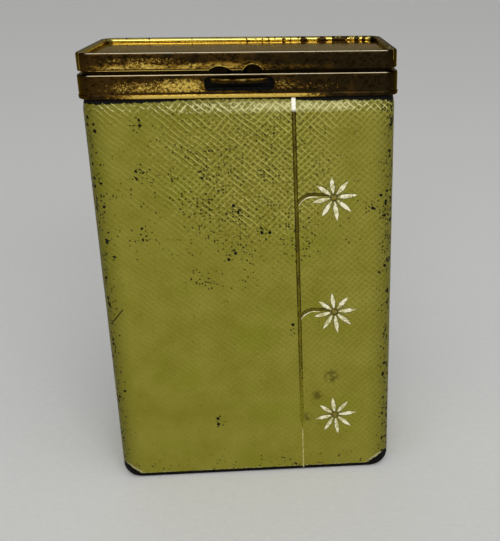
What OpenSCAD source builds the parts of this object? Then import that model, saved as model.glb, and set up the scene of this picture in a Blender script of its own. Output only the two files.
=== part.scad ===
// Hinged flip-top pocket case: a steel box wrapped in grained leatherette, with a brass collar,
// a recessed brass lid and a sprung thumb catch.
// Millimetres. The origin is the centre of the flat base, +Z is up and the catch faces -Y.
// Every layer of the walls is placed by its inset, the distance inward from the collar's outer face.

/* [Case] */
// Width over the brass collar
case_w = 65; // [60:0.5:70]
// Depth over the brass collar, front to back
case_d = 32; // [30:0.5:36]
// Height of the closed case, base to lid rim
case_h = 99.3; // [90:0.1:112]
// Radius of the collar's vertical corners
corner_r = 3.5; // [3.3:0.1:4]

/* [Layers] */
// Thickness of the brass strip in the collar and the lid
brass_t = 0.5; // [0.4:0.05:0.6]
// Thickness of the leatherette cover and of the base plate
cover_t = 0.7; // [0.6:0.05:0.8]
// Thickness of the steel core box
core_t = 0.8; // [0.6:0.05:0.9]
// Thickness of the fabric lining
lining_t = 0.5; // [0.3:0.05:0.6]

/* [Lid and collar] */
// Height of the collar's outer band
collar_h = 4.8; // [4.4:0.1:6]
// Height of the lid's outer band
lid_h = 3.65; // [3.4:0.05:5]
// Open gap between lid and collar when shut
lid_gap = 0.65; // [0.5:0.05:0.9]
// How far the lid stands back from the collar's outer face
lid_inset = 0.2; // [0.1:0.05:0.3]
// Width of the lid's raised rim
rim_w = 1.5; // [1.3:0.1:1.8]
// Depth of the lid's recessed panel below the rim
recess = 0.9; // [0.7:0.05:1.1]

/* [Hinge] */
// Number of hinge knuckles, odd so that the case leaf has both ends
knuckles = 7; // [5:2:11]
// Length of one knuckle
knuckle_l = 6; // [4:0.5:6]
// Outer radius of the knuckles
knuckle_r = 1.1; // [1:0.05:1.3]
// Radius of the hinge pin
pin_r = 0.55; // [0.4:0.05:0.6]
// Angle in degrees that the lid opens through before its stops meet the case leaf
lid_open = 100; // [90:1:115]

/* [Catch] */
// Sideways place of the thumb tab
latch_x = 0; // [-2:0.1:2]
// Width of the thumb tab
tab_w = 11.2; // [9:0.1:13]
// How far the thumb tab stands out from the collar
tab_out = 1.5; // [1:0.1:2]
// Thickness of the thumb tab
tab_t = 0.9; // [0.8:0.05:1]

/* [Decoration] */
// Sideways place of the foil stem on the front
stem_x = 11; // [6:0.1:14]
// Width of the foil stem
stem_w = 0.8; // [0.5:0.05:1]
// Height of the lowest flower's centre
flower_z = 15.1; // [12:0.1:20]
// Spacing of the three flowers up the front
flower_pitch = 26.8; // [20:0.1:28]

/* [Hidden] */
$fn = 48;

// insets of the layers' outer faces
cover_inset = brass_t;
core_inset = cover_inset + cover_t;
lining_inset = core_inset + core_t;
cavity_inset = lining_inset + lining_t;
neck_inset = 1;
neck_t = 0.4;
leg_inset = lining_inset;
leg_inner = leg_inset + neck_t;

// levels up the case
base_bevel = corner_r;
collar_top = case_h - lid_h - lid_gap;
collar_bottom = collar_top - collar_h;
skirt_bottom = case_h - lid_h;
shelf_top = collar_top - brass_t;
shelf_bottom = shelf_top - neck_t;
leg_bottom = shelf_bottom - 2.7;
neck_top = skirt_bottom + 1.55;
cover_top = shelf_bottom - 0.3;
pad_t = 0.8;
pad_top = core_t + cover_t + pad_t;
panel_t = 0.4;
panel_top = case_h - recess;
panel_bottom = panel_top - panel_t;
lid_lining_t = 0.45;

// hinge
pin_y = case_d / 2 + 0.1 + knuckle_r;
pin_z = collar_top + lid_gap / 2;
pin_clearance = 0.05;
knuckle_gap = 0.12;
leaf_t = 0.5;
leaf_reach = 1.3;
hinge_l = knuckles * knuckle_l;
leaf_back = case_d / 2 + leaf_t;
stop_reach = 1.6;
stop_half = 0.2;
stop_w = 1.6;
stop_meets = acos((leaf_back - pin_y) / norm([stop_reach, stop_half]));
stop_turn = lid_open + 1 + atan(stop_half / stop_reach) - stop_meets;
pin_l = hinge_l - knuckle_gap;
head_l = 0.3;
head_r = knuckle_r * 0.8;

// catch: the tab's blade and everything behind it
blade_top = shelf_bottom - 0.05;
blade_t = 0.7;
blade_bottom = blade_top - blade_t;
blade_w = 9;
slot_w = 14;
slot_top = shelf_top;
slot_bottom = collar_bottom + 1.45;
cover_lip = 0.7;
tail_inset = leg_inner + 0.05;
tail_t = 0.5;
tail_w = 13;
tail_bottom = blade_bottom - 0.9;
hook_x = latch_x - 0.35;
hook_w = 2.4;
window_w = hook_w + 1.6;
hook_top = neck_top - 0.5;
nose_t = 0.45;
keeper_reach = 0.6;
keeper_inset = lid_inset + brass_t;
nose_clearance = 0.12;
tenon_w = 1.5;
tenon_x = 2.3;
spring_t = 0.25;
spring_h = 1.7;
spring_z = blade_bottom - 1.1;
spring_reach = 13;
rivet_x = 11.5;
rivet_r = 0.4;
rivet_head_r = 0.75;
rivet_head_t = 0.3;

// decoration
foil_t = 0.08;
flower_x = stem_x + 8;
petal_r = 0.9;
petal_w = 1.25;
petals = [[5, 5.0], [49, 4.6], [97, 4.6], [143, 4.4], [192, 4.7], [238, 4.9], [278, 5.3], [319, 5.0]];

// a plate over the whole plan at one inset, between two levels
module slab(inset, z0, z1) {
  w = case_w - 2 * inset;
  d = case_d - 2 * inset;
  r = corner_r - inset;
  translate([0, 0, z0])
    linear_extrude(z1 - z0) {
      square([w - 2 * r, d], center = true);
      square([w, d - 2 * r], center = true);
      for (x = [-1, 1], y = [-1, 1])
        translate([x * (w / 2 - r), y * (d / 2 - r)])
          circle(r);
    }
}

// the case's outer form at one inset, with its two lower corners rounded in the front view
module envelope(inset, z1) {
  w = case_w - 2 * inset;
  bottom = inset - cover_inset;
  r = base_bevel - inset;
  intersection() {
    slab(inset, bottom, z1);
    rotate([90, 0, 0])
      linear_extrude(case_d, center = true) {
        translate([-w / 2, bottom + r])
          square([w, z1]);
        translate([-w / 2 + r, bottom])
          square([w - 2 * r, z1]);
        for (x = [-1, 1])
          translate([x * (w / 2 - r), bottom + r])
            circle(r);
      }
  }
}

// everything between two levels
module between(z0, z1) {
  intersection() {
    children();
    translate([-case_w, -case_d, z0])
      cube([2 * case_w, 2 * case_d, z1 - z0]);
  }
}

// runs a section round the case: its x is the distance from the corner's axis, its y the level
module round_the_case() {
  half_w = case_w / 2 - corner_r;
  half_d = case_d / 2 - corner_r;
  for (side = [0, 180]) {
    rotate(side)
      translate([half_w, half_d, 0])
        rotate([90, 0, 0])
          linear_extrude(2 * half_d)
            children();
    rotate(side)
      translate([half_w, -half_d, 0])
        rotate([90, 0, -90])
          linear_extrude(2 * half_w)
            children();
    rotate(side)
      translate([half_w, half_d, 0])
        rotate_extrude(angle = 90)
          children();
    rotate(side)
      translate([-half_w, half_d, 0])
        rotate(90)
          rotate_extrude(angle = 90)
            children();
  }
}

// a strip of the section, from one inset to another and between two levels
module strip(inset0, inset1, z0, z1) {
  translate([corner_r - inset1, z0])
    square([inset1 - inset0, z1 - z0]);
}

// a box in front-wall terms: centred on x, from one inset to another behind the front face
module front_box(x, w, inset0, inset1, z0, z1) {
  translate([x - w / 2, -case_d / 2 + inset0, z0])
    cube([w, inset1 - inset0, z1 - z0]);
}

module base_plate() {
  color([0.03, 0.03, 0.03])
    between(0, cover_t)
      envelope(cover_inset, case_h);
}

module core_box() {
  color([0.08, 0.08, 0.08])
    difference() {
      envelope(core_inset, shelf_bottom);
      envelope(lining_inset, case_h);
      front_box(latch_x, blade_w + 1, -1, 4, blade_bottom - 0.15, case_h);
    }
}

module cover_wrap() {
  color([0.50, 0.50, 0.22])
    difference() {
      between(cover_t, cover_top)
        envelope(cover_inset, case_h);
      envelope(core_inset, case_h);
      front_box(latch_x, slot_w + 1, -1, core_inset, slot_bottom + cover_lip, case_h);
    }
}

module lining_wall() {
  color([0.42, 0.37, 0.26])
    difference() {
      between(pad_top, leg_bottom)
        envelope(lining_inset, case_h);
      envelope(cavity_inset, case_h);
    }
}

module lining_base() {
  color([0.38, 0.33, 0.22])
    between(cover_t + core_t, pad_top)
      envelope(lining_inset, case_h);
}

module collar() {
  bead_r = brass_t * 0.8;
  mid = corner_r - brass_t / 2;
  color([0.66, 0.52, 0.24])
    difference() {
      round_the_case()
        union() {
          strip(0, brass_t, collar_bottom + bead_r, collar_top - brass_t / 2);
          strip(brass_t / 2, neck_inset, shelf_top, collar_top);
          translate([mid, collar_top - brass_t / 2])
            circle(brass_t / 2);
          intersection() {
            translate([mid, collar_bottom + bead_r])
              circle(bead_r);
            strip(-1, brass_t, 0, case_h);
          }
        }
      front_box(latch_x, slot_w, -1, brass_t, slot_bottom, slot_top);
    }
}

module neck() {
  color([0.58, 0.45, 0.20])
    difference() {
      round_the_case()
        union() {
          strip(neck_inset, neck_inset + neck_t, shelf_bottom, neck_top);
          strip(neck_inset, leg_inner, shelf_bottom, shelf_top);
          strip(leg_inset, leg_inner, leg_bottom, shelf_top);
        }
      front_box(hook_x, window_w, -1, neck_inset + neck_t + 0.2, shelf_top, case_h);
      front_box(latch_x, blade_w + 1, -1, leg_inner + 1, blade_bottom - 0.15, shelf_bottom);
      rivet_places()
        cylinder(h = 6, r = rivet_r, center = true);
    }
}

// where knuckle i starts, along x
function knuckle_start(i) = -hinge_l / 2 + i * knuckle_l;

// one knuckle with the web that joins it to its leaf, dir 1 upward and -1 downward
module knuckle(i, dir) {
  x0 = knuckle_start(i) + knuckle_gap / 2;
  l = knuckle_l - knuckle_gap;
  difference() {
    union() {
      translate([x0, pin_y, pin_z])
        rotate([0, 90, 0])
          cylinder(h = l, r = knuckle_r);
      translate([x0, pin_y - knuckle_r, min(pin_z, pin_z + dir * (leaf_reach + 0.2))])
        cube([l, leaf_t, leaf_reach + 0.2]);
    }
    translate([x0 - 1, pin_y, pin_z])
      rotate([0, 90, 0])
        cylinder(h = l + 2, r = pin_r + pin_clearance);
  }
}

module hinge_leaf_case() {
  plate_h = 2.6;
  color([0.60, 0.47, 0.21])
    union() {
      translate([-hinge_l / 2, case_d / 2, pin_z - leaf_reach - plate_h])
        cube([hinge_l, leaf_t, plate_h]);
      for (i = [0:2:knuckles - 1])
        knuckle(i, -1);
    }
}

module hinge_leaf_lid() {
  plate_h = 2;
  color([0.63, 0.50, 0.23])
    union() {
      translate([-hinge_l / 2, case_d / 2 - lid_inset, pin_z + leaf_reach])
        cube([hinge_l, leaf_t + lid_inset, plate_h]);
      for (i = [1:2:knuckles - 2]) {
        knuckle(i, 1);
        lid_stop(i);
      }
    }
}

// the nib on a lid knuckle that swings round to meet the case leaf and stops the lid
module lid_stop(i) {
  foot = knuckle_r - 0.2;
  translate([knuckle_start(i) + knuckle_l / 2, pin_y, pin_z])
    rotate([stop_turn, 0, 0])
      translate([-stop_w / 2, foot, -stop_half])
        cube([stop_w, stop_reach - foot, 2 * stop_half]);
}

module hinge_pin() {
  color([0.45, 0.36, 0.18])
    translate([-pin_l / 2 - head_l, pin_y, pin_z])
      rotate([0, 90, 0])
        union() {
          cylinder(h = pin_l + 2 * head_l, r = pin_r);
          cylinder(h = head_l, r = head_r);
          translate([0, 0, pin_l + head_l])
            cylinder(h = head_l, r = head_r);
        }
}

module lid_rim() {
  half_t = brass_t / 2;
  outer = lid_inset;
  inner = lid_inset + rim_w;
  color([0.68, 0.54, 0.25])
    difference() {
      round_the_case()
        union() {
          strip(outer, outer + brass_t, skirt_bottom + half_t, case_h - half_t);
          strip(inner - brass_t, inner, panel_top, case_h - half_t);
          strip(outer + half_t, inner - half_t, case_h - brass_t, case_h);
          for (level = [skirt_bottom + half_t, case_h - half_t])
            translate([corner_r - outer - half_t, level])
              circle(half_t);
          translate([corner_r - inner + half_t, case_h - half_t])
            circle(half_t);
        }
      thumbnail_notch(-3.8, 2.25, 0.85);
      thumbnail_notch(2.8, 1.95, 1.2);
    }
}

// a half-round notch in the skirt's lower edge, half_w to each side and h high
module thumbnail_notch(x, half_w, h) {
  r = (half_w * half_w + h * h) / (2 * h);
  translate([latch_x + x, -case_d / 2, skirt_bottom + h - r])
    rotate([90, 0, 0])
      cylinder(h = 2 * (lid_inset + brass_t) + 0.1, r = r, center = true);
}

module lid_panel() {
  color([0.60, 0.50, 0.25])
    slab(lid_inset + brass_t, panel_bottom, panel_top);
}

module lid_lining() {
  color([0.42, 0.37, 0.26])
    slab(lid_inset + brass_t + 0.05, panel_bottom - lid_lining_t, panel_bottom);
}

module lid_keeper() {
  color([0.55, 0.55, 0.56])
    union() {
      front_box(hook_x, hook_w, keeper_inset, keeper_inset + 0.2, skirt_bottom + 0.25, neck_top + 0.2);
      front_box(hook_x, hook_w - 0.4, keeper_inset, keeper_inset + keeper_reach,
        skirt_bottom + 0.05, skirt_bottom + 0.5);
    }
}

module thumb_tab() {
  arc_r = (pow(tab_w / 2, 2) + pow(tab_out - 0.1, 2)) / (2 * (tab_out - 0.1));
  ledge_bottom = blade_bottom - 0.1;
  color([0.70, 0.56, 0.27])
    union() {
      intersection() {
        translate([latch_x, -case_d / 2 - tab_out + arc_r, ledge_bottom])
          cylinder(h = tab_t, r = arc_r, $fn = 96);
        front_box(latch_x, tab_w + 1, -tab_out - 1, -0.1, ledge_bottom, ledge_bottom + tab_t);
      }
      front_box(latch_x, blade_w, -0.3, tail_inset, blade_bottom, blade_top);
      for (x = [-tenon_x, tenon_x])
        front_box(latch_x + x, tenon_w, tail_inset - 0.2, tail_inset + tail_t,
          blade_bottom, blade_top);
    }
}

module catch_hook() {
  tail_back = tail_inset + tail_t;
  nose_inset = keeper_inset + keeper_reach + nose_clearance;
  color([0.50, 0.50, 0.52])
    difference() {
      union() {
        front_box(latch_x, tail_w, tail_inset, tail_back, tail_bottom, shelf_top + 0.3);
        front_box(hook_x, hook_w, tail_inset, tail_back, shelf_top, hook_top);
        front_box(hook_x, hook_w, nose_inset, tail_back, hook_top - nose_t, hook_top);
      }
      for (x = [-tenon_x, tenon_x])
        front_box(latch_x + x, tenon_w, tail_inset - 0.2, tail_back + 0.2,
          blade_bottom, blade_top);
    }
}

// the leaf spring's outline from above: x along the front, y the inset of its front face
module catch_spring() {
  back = tail_inset + tail_t + 0.05;
  outline = [[-spring_reach, leg_inner], [-9.8, leg_inner], [-7.4, back], [7.4, back],
    [9.8, leg_inner], [spring_reach, leg_inner], [spring_reach, leg_inner + spring_t],
    [9.9, leg_inner + spring_t], [7.5, back + spring_t], [-7.5, back + spring_t],
    [-9.9, leg_inner + spring_t], [-spring_reach, leg_inner + spring_t]];
  color([0.62, 0.62, 0.64])
    difference() {
      translate([latch_x, -case_d / 2, spring_z])
        linear_extrude(spring_h)
          polygon(outline);
      rivet_places()
        cylinder(h = 6, r = rivet_r, center = true);
    }
}

// puts a child at each spring rivet, its z axis pointing into the case
module rivet_places() {
  for (x = [-rivet_x, rivet_x])
    translate([latch_x + x, -case_d / 2 + leg_inner, spring_z + spring_h / 2])
      rotate([-90, 0, 0])
        children();
}

module spring_rivets() {
  color([0.66, 0.52, 0.24])
    rivet_places()
      union() {
        translate([0, 0, spring_t])
          cylinder(h = rivet_head_t, r = rivet_head_r);
        translate([0, 0, -neck_t])
          cylinder(h = neck_t + spring_t + 0.1, r = rivet_r);
      }
}

// lays a flat outline, drawn in x and z, on the cover's front face
module on_front() {
  translate([0, -case_d / 2 + cover_inset, 0])
    rotate([90, 0, 0])
      linear_extrude(foil_t)
        children();
}

// puts a child at the centre of each flower listed, counted up from the lowest as 0
module flower_places(which) {
  for (i = which)
    translate([flower_x, flower_z + i * flower_pitch])
      children();
}

// the stalk from the stem to a flower: an arc that levels out, then a run in between two petals
module stalk() {
  bend_r = 3.3;
  half_w = 0.25;
  level = 0.85;
  bend_x = -4.6;
  translate([bend_x, level - bend_r])
    intersection() {
      difference() {
        circle(bend_r + half_w);
        circle(bend_r - half_w);
      }
      polygon([[0, 0], [-4.2, 1.4], [-4.2, 5], [0, 5]]);
    }
  translate([bend_x - 0.1, level - half_w])
    square([2.5, 2 * half_w]);
}

module stem_foil() {
  stem_bottom = 3;
  color([0.55, 0.44, 0.18])
    on_front()
      union() {
        translate([stem_x - stem_w / 2, stem_bottom])
          square([stem_w, collar_bottom - 0.2 - stem_bottom]);
        flower_places([1, 2])
          stalk();
      }
}

// a pointed petal along +x from the flower's centre
module petal(length) {
  l = length - petal_r;
  r = (l * l + petal_w * petal_w) / (4 * petal_w);
  translate([petal_r + l / 2, 0])
    intersection() {
      translate([0, r - petal_w / 2])
        circle(r);
      translate([0, petal_w / 2 - r])
        circle(r);
    }
}

module petal_foils() {
  color([0.88, 0.88, 0.80])
    for (i = [0:2], p = petals)
      translate([flower_x, 0, flower_z + i * flower_pitch])
        rotate([0, -p[0], 0])
          on_front()
            petal(p[1]);
}

module centre_foils() {
  color([0.60, 0.52, 0.22])
    for (i = [0:2])
      translate([0, 0, i * flower_pitch])
        on_front()
          translate([flower_x, flower_z])
            circle(0.75);
}

base_plate();
core_box();
cover_wrap();
lining_wall();
lining_base();
collar();
neck();
hinge_leaf_case();
hinge_pin();
catch_spring();
spring_rivets();
stem_foil();
petal_foils();
centre_foils();
lid_rim();
lid_panel();
lid_lining();
lid_keeper();
hinge_leaf_lid();
thumb_tab();
catch_hook();
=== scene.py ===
"""Looks of the hinged pocket case: grained cover, tarnished brasswork and foil flowers.

Sizes are in millimetres in the row frame and become metres when a mesh is made. A place on the case's wall is
given by its inset, the distance inward from the collar's outer face, and its level above the base.
"""

import math

import bmesh
import bpy
from mathutils import Matrix, Vector, noise


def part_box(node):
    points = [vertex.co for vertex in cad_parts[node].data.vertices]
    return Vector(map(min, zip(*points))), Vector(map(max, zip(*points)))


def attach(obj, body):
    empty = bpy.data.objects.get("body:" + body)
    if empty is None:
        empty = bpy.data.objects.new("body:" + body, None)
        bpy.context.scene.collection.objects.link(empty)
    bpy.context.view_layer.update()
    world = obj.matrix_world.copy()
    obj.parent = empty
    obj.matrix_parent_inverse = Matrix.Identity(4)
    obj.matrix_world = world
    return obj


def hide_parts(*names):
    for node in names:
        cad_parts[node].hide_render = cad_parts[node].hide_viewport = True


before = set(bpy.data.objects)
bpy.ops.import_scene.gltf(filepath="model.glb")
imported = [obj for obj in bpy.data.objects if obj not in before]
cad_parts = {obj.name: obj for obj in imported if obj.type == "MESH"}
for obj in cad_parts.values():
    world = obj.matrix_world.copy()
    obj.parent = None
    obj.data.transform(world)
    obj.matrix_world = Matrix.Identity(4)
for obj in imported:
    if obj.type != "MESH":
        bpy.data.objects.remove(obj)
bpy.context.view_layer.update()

MM = 0.001


# ---------- sizes, from the CAD nodes


def levels(node):
    """The lowest and highest level of a CAD node."""
    low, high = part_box(node)
    return low.z / MM, high.z / MM


def spread(start, end, count):
    """The values from start to end, both included, in count equal steps."""
    return [start + (end - start) * i / count for i in range(count + 1)]


COLLAR_BOTTOM, COLLAR_TOP = levels("collar")
LID_BOTTOM, LID_TOP = levels("lid_rim")
PANEL_TOP = levels("lid_panel")[1]
COVER_BOTTOM, COVER_TOP = levels("cover_wrap")
LID_INSET = 0.2
HALF_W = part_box("lid_rim")[1].x / MM + LID_INSET
HALF_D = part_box("lid_rim")[1].y / MM + LID_INSET
CORNER_R = 3.5
BRASS_T = 0.5

# the cover's faces, its rounded lower edges and how it tucks in under the collar
COVER_INSET = HALF_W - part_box("cover_wrap")[1].x / MM
CORE_INSET = HALF_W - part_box("core_box")[1].x / MM
FRONT = -HALF_D + COVER_INSET
SIDE = HALF_W - COVER_INSET
BOTTOM_R = 3.0
FOOT_R = 0.9
TUCK_H = 2.8
TUCK_IN = 0.42

# the catch's slot, and the notches over it in the lid: (distance from the catch's middle, height, radius)
TAB_LOW, TAB_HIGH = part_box("thumb_tab")
LATCH_X = (TAB_LOW.x + TAB_HIGH.x) / 2 / MM
SLOT_W = 14
SLOT_R = 1.1
SLOT_BOTTOM = COLLAR_BOTTOM + 1.45
SLOT_TOP = COLLAR_TOP - BRASS_T
NOTCHES = [(x, h, (w**2 + h**2) / (2 * h)) for x, w, h in ((-3.8, 2.25, 0.85), (2.8, 1.95, 1.2))]

# the foils on the front
STEM_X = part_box("stem_foil")[0].x / MM + 0.4
CENTRES_LOW, CENTRES_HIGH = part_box("centre_foils")
CENTRE_R = (CENTRES_HIGH.x - CENTRES_LOW.x) / 2 / MM
CENTRE_FOIL_R = 0.9
FLOWER_X = CENTRES_LOW.x / MM + CENTRE_R
FLOWER_LEVELS = spread(CENTRES_LOW.z / MM + CENTRE_R, CENTRES_HIGH.z / MM - CENTRE_R, 2)


# ---------- meshes


def new_piece(name, mesh, material, body, replaced):
    """A finished mesh as a piece: its material, its body and the CAD nodes it stands for."""
    made = bpy.data.objects.new(name, mesh)
    bpy.context.scene.collection.objects.link(made)
    mesh.materials.append(material)
    mesh.shade_smooth()
    mesh.set_sharp_from_angle(angle=math.radians(40))
    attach(made, body)
    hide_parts(*replaced)
    return made


def plan_path(spacing, corner_steps):
    """Stations (x, y, angle) round the plan from the middle of the back, counterclockwise from above.

    x and y are on the line of the corners' axes, and the angle is that of the outward normal."""
    flat_w = HALF_W - CORNER_R
    flat_d = HALF_D - CORNER_R
    corners = [(-flat_w, flat_d), (-flat_w, -flat_d), (flat_w, -flat_d), (flat_w, flat_d), (0, flat_d)]
    path = []
    here = Vector((0, flat_d))
    for quarter, corner in enumerate(corners):
        there = Vector(corner)
        turn = math.radians(90 + 90 * quarter)
        steps = max(1, round((there - here).length / spacing))
        path += [(*here.lerp(there, i / steps), turn) for i in range(steps)]
        if quarter < 4:
            path += [(*there, turn + math.pi / 2 * i / corner_steps) for i in range(corner_steps)]
        here = there
    path.append((0, flat_d, math.radians(450)))
    return path


def on_plan(station, inset, level):
    """The point at an inset and a level of the straight-sided wall."""
    x, y, turn = station
    reach = CORNER_R - inset
    return Vector((x + reach * math.cos(turn), y + reach * math.sin(turn), level))


def outward(station):
    """The unit vector that faces out of the wall at a station."""
    return Vector((math.cos(station[2]), math.sin(station[2]), 0))


def quarter_round(height, radius):
    """How far a rounded lower edge has drawn in at a height above its foot."""
    if height >= radius:
        return 0
    return radius - math.sqrt(max(0, radius**2 - (radius - height) ** 2))


def on_box(station, inset, level):
    """The point at an inset and a level of the box, whose lower edges are rounded."""
    x, y, turn = station
    reach = CORNER_R - inset
    in_x = quarter_round(level, BOTTOM_R) / (HALF_W - CORNER_R)
    in_y = quarter_round(level, FOOT_R) / (HALF_D - CORNER_R)
    return Vector((x * (1 - in_x) + reach * math.cos(turn), y * (1 - in_y) + reach * math.sin(turn), level))


def fillet(corners):
    """The loop of (inset, level) points through (inset, level, radius) corners, each turned by an arc."""
    loop = []
    for i, (a, b, radius) in enumerate(corners):
        here = Vector((a, b))
        back = (Vector(corners[i - 1][:2]) - here).normalized()
        ahead = (Vector(corners[(i + 1) % len(corners)][:2]) - here).normalized()
        half = back.angle(ahead) / 2
        if radius <= 0 or half > math.radians(89):
            loop.append((a, b))
            continue
        centre = here + (back + ahead).normalized() * radius / math.sin(half)
        first = here + back * radius / math.tan(half) - centre
        last = here + ahead * radius / math.tan(half) - centre
        for t in spread(0, 1, 5):
            loop.append(tuple(centre + first.slerp(last, t).normalized() * radius))
    return loop


def bridge(bm, low, high):
    """The faces between two rings of vertices."""
    for j in range(len(low)):
        k = (j + 1) % len(low)
        bm.faces.new((low[j], low[k], high[k], high[j]))


def sweep(name, path, section, place, ring=True):
    """A closed mesh: a loop of (inset, level) points, or of those that a function gives, carried along path.

    place makes a point of a station, an inset and a level. The wrap attribute holds each vertex's distance
    round the plan and its level."""
    bm = bmesh.new()
    wrap = bm.verts.layers.float_vector.new("wrap")
    stations = path[:-1] if ring else path
    rings = []
    run = 0
    before = None
    for station in stations:
        loop = section(station) if callable(section) else section
        outer = on_plan(station, COVER_INSET, 0)
        run += (outer - before).length if before else 0
        before = outer
        verts = [bm.verts.new(place(station, inset, level)) for inset, level in loop]
        for vert in verts:
            vert[wrap] = (run, vert.co.z, 0)
        rings.append(verts)
    for here, ahead in zip(rings, rings[1:] + rings[:1] if ring else rings[1:]):
        bridge(bm, here, ahead)
    if not ring:
        bm.faces.new(rings[0])
        bm.faces.new(rings[-1])
    return to_mesh(bm, name)


def to_mesh(bm, name):
    """The bmesh, in millimetres, as a mesh in metres with its faces looking outward."""
    bmesh.ops.recalc_face_normals(bm, faces=bm.faces)
    bmesh.ops.scale(bm, vec=(MM, MM, MM), verts=bm.verts)
    mesh = bpy.data.meshes.new(name)
    bm.to_mesh(mesh)
    bm.free()
    return mesh


def slab(name, path, rows, place):
    """A closed mesh of whole outlines, one for each (inset, level) row from the lowest up."""
    bm = bmesh.new()
    rings = [[bm.verts.new(place(s, inset, level)) for s in path[:-1]] for inset, level in rows]
    for low, high in zip(rings, rings[1:]):
        bridge(bm, low, high)
    bm.faces.new(rings[0])
    bm.faces.new(rings[-1])
    return to_mesh(bm, name)


def cut(target, cutters, bevel):
    """Cuts the cutter meshes out of a piece and rounds the cut's edges."""
    for mesh in cutters:
        tool = bpy.data.objects.new("cutter", mesh)
        bpy.context.scene.collection.objects.link(tool)
        step = target.modifiers.new("cut", "BOOLEAN")
        step.operation = "DIFFERENCE"
        step.solver = "EXACT"
        step.object = tool
        apply_modifiers(target)
        bpy.data.objects.remove(tool)
    soften(target, bevel, angle=50)
    apply_modifiers(target)


def apply_modifiers(target):
    """Replaces a piece's mesh with what its modifiers make of it."""
    bpy.context.view_layer.update()
    graph = bpy.context.evaluated_depsgraph_get()
    result = target.evaluated_get(graph)
    made = bpy.data.meshes.new_from_object(result, preserve_all_data_layers=True, depsgraph=graph)
    target.modifiers.clear()
    target.data = made


def soften(target, width, angle=40):
    """A small rounded bevel, in millimetres, on every edge sharper than angle."""
    bevel = target.modifiers.new("soften", "BEVEL")
    bevel.width = width * MM
    bevel.segments = 3
    bevel.limit_method = "ANGLE"
    bevel.angle_limit = math.radians(angle)
    bevel.miter_outer = "MITER_ARC"


def block(low, high, radius=0):
    """A box mesh between two corners, whose four edges along y are rounded when it has a radius."""
    bm = bmesh.new()
    size = Vector(high) - Vector(low)
    middle = (Vector(high) + Vector(low)) / 2
    bmesh.ops.create_cube(bm, size=1, matrix=Matrix.Translation(middle) @ Matrix.Diagonal((*size, 1)))
    if radius:
        edges = [e for e in bm.edges if abs((e.verts[0].co - e.verts[1].co).y) > size.y * 0.9]
        bmesh.ops.bevel(bm, geom=edges, offset=radius, segments=5, affect="EDGES", profile=0.5)
    return to_mesh(bm, "cutter")


def drum(x, z, radius, y0, y1):
    """A cylinder mesh along y."""
    bm = bmesh.new()
    turn = Matrix.Translation((x, (y0 + y1) / 2, z)) @ Matrix.Rotation(math.radians(90), 4, "X")
    sizes = {"radius1": radius, "radius2": radius, "depth": y1 - y0}
    bmesh.ops.create_cone(bm, cap_ends=True, segments=96, matrix=turn, **sizes)
    return to_mesh(bm, "cutter")


# ---------- material nodes


def srgb(*values):
    """A colour given as 0 to 255 display values, in the linear values that shaders use."""
    return tuple((v / 255 / 12.92 if v <= 10 else ((v / 255 + 0.055) / 1.055) ** 2.4) for v in values)


class Term:
    """A number that a material's nodes work out. Arithmetic on it adds Math nodes."""

    def __init__(self, tree, socket):
        self.tree = tree
        self.socket = socket

    def __add__(self, other):
        return maths("ADD", self, other)

    def __sub__(self, other):
        return maths("SUBTRACT", self, other)

    def __rsub__(self, other):
        return maths("SUBTRACT", other, self)

    def __mul__(self, other):
        return maths("MULTIPLY", self, other)

    def __abs__(self):
        return maths("ABSOLUTE", self)


def plug(tree, value, socket):
    """Puts a number or a term into an input."""
    if isinstance(value, Term):
        tree.links.new(value.socket, socket)
    else:
        socket.default_value = value


def maths(operation, *values):
    """A Math node of numbers and terms, at least one of them a term."""
    tree = next(v.tree for v in values if isinstance(v, Term))
    made = tree.nodes.new("ShaderNodeMath")
    made.operation = operation
    for value, socket in zip(values, made.inputs):
        plug(tree, value, socket)
    return Term(tree, made.outputs[0])


def least(*values):
    return maths("MINIMUM", *values)


def most(*values):
    return maths("MAXIMUM", *values)


def ease(value, start, end):
    """A smooth step from 0 at start to 1 at end, which falls when start is above end."""
    made = value.tree.nodes.new("ShaderNodeMapRange")
    made.interpolation_type = "SMOOTHSTEP"
    plug(value.tree, value, made.inputs["Value"])
    low, high, first, last = (start, end, 0, 1) if start < end else (end, start, 1, 0)
    made.inputs["From Min"].default_value = low
    made.inputs["From Max"].default_value = high
    made.inputs["To Min"].default_value = first
    made.inputs["To Max"].default_value = last
    return Term(value.tree, made.outputs["Result"])


def between(value, low, high, soft):
    """1 between two values, fading to 0 over soft outside them."""
    return ease(value, low - soft, low) * ease(value, high + soft, high)


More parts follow.
